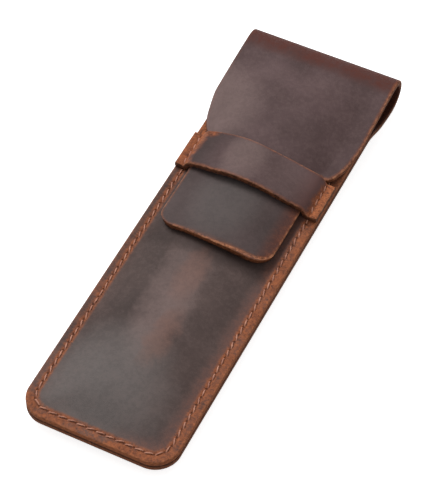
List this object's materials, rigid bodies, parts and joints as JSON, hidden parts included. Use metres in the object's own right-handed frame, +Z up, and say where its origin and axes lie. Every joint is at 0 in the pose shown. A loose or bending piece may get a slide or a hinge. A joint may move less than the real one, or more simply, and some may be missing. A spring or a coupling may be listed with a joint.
{
  "type": "fountain pen case",
  "caption": "Slim leather pen case: sewn pocket, wide fold, and a flap whose tongue slips under a keeper strap across the front.",
  "frame": {"origin": "centre of the case's outline, on the surface that its back rests on", "axes": "+X across the case, +Y from the sewn toe to the fold, +Z up through the front"},
  "size_m": [0.058, 0.1836, 0.0186],
  "materials": {
    "leather": "waxed pull-up leather, dark brown with rust-brown edges",
    "thread": "waxed thread, rust tan"
  },
  "bodies": {
    "case": {"back_panel": "leather", "front_panel": "leather", "keeper_strap": "leather", "left_side_stitches": "thread", "toe_stitches": "thread", "right_side_stitches": "thread", "left_keeper_stitches": "thread", "right_keeper_stitches": "thread"},
    "fold_1": {"fold_band_1": "leather"},
    "fold_2": {"fold_band_2": "leather"},
    "flap": {"flap_front": "leather", "flap_tongue": "leather"}
  },
  "joints": [
    {"name": "flap_open", "type": "hinge", "parent": "case", "child": "fold_1", "pos_m": [0, 0.08657, 0.0011], "axis": [-1, 0, 0], "range_deg": [0, 44], "deforming": ["flap_tongue"]},
    {"name": "fold_middle", "type": "hinge", "parent": "fold_1", "child": "fold_2", "pos_m": [0, 0.09063, 0.00786], "axis": [-1, 0, 0], "range_deg": [0, 66]},
    {"name": "fold_top", "type": "hinge", "parent": "fold_2", "child": "flap", "pos_m": [0, 0.08772, 0.0127], "axis": [-1, 0, 0], "range_deg": [0, 62]}
  ],
  "couplings": [
    {"joint": "fold_middle", "follows": "flap_open", "ratio": 1.5},
    {"joint": "fold_top", "follows": "flap_open", "ratio": 1.409}
  ]
}
